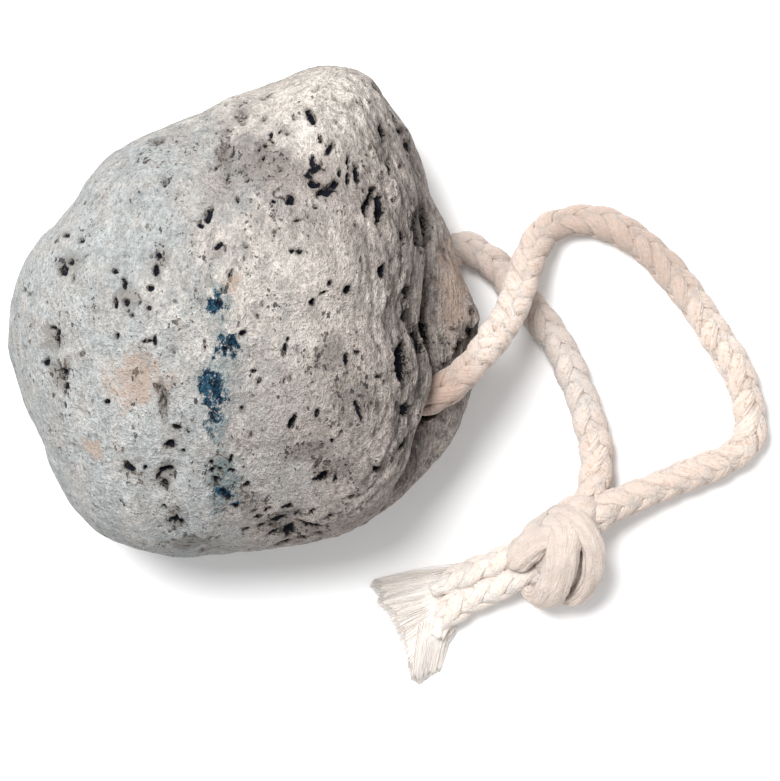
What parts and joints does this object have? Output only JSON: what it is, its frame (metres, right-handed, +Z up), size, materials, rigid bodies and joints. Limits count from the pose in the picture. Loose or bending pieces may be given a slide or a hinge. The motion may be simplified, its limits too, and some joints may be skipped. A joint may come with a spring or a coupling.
{
  "type": "pumice stone",
  "caption": "Rounded natural pumice stone, drilled near one side and threaded with a knotted braided cotton rope, lying on its worn face.",
  "frame": {"origin": "bottom centre of the stone's box, on the surface that the stone lies on; the rope isn't counted", "axes": "+Z up through the stone's thickness, +X towards the drilled side and the rope, +Y towards the stone's nose"},
  "size_m": [0.1336, 0.108, 0.0494],
  "materials": {
    "pumice": "dry, porous, matt grey pumice with fine grain and open pits",
    "cotton_rope": "soft undyed braided cotton, matt"
  },
  "bodies": {
    "root": {"stone": "pumice", "rope": "cotton_rope"}
  },
  "joints": []
}
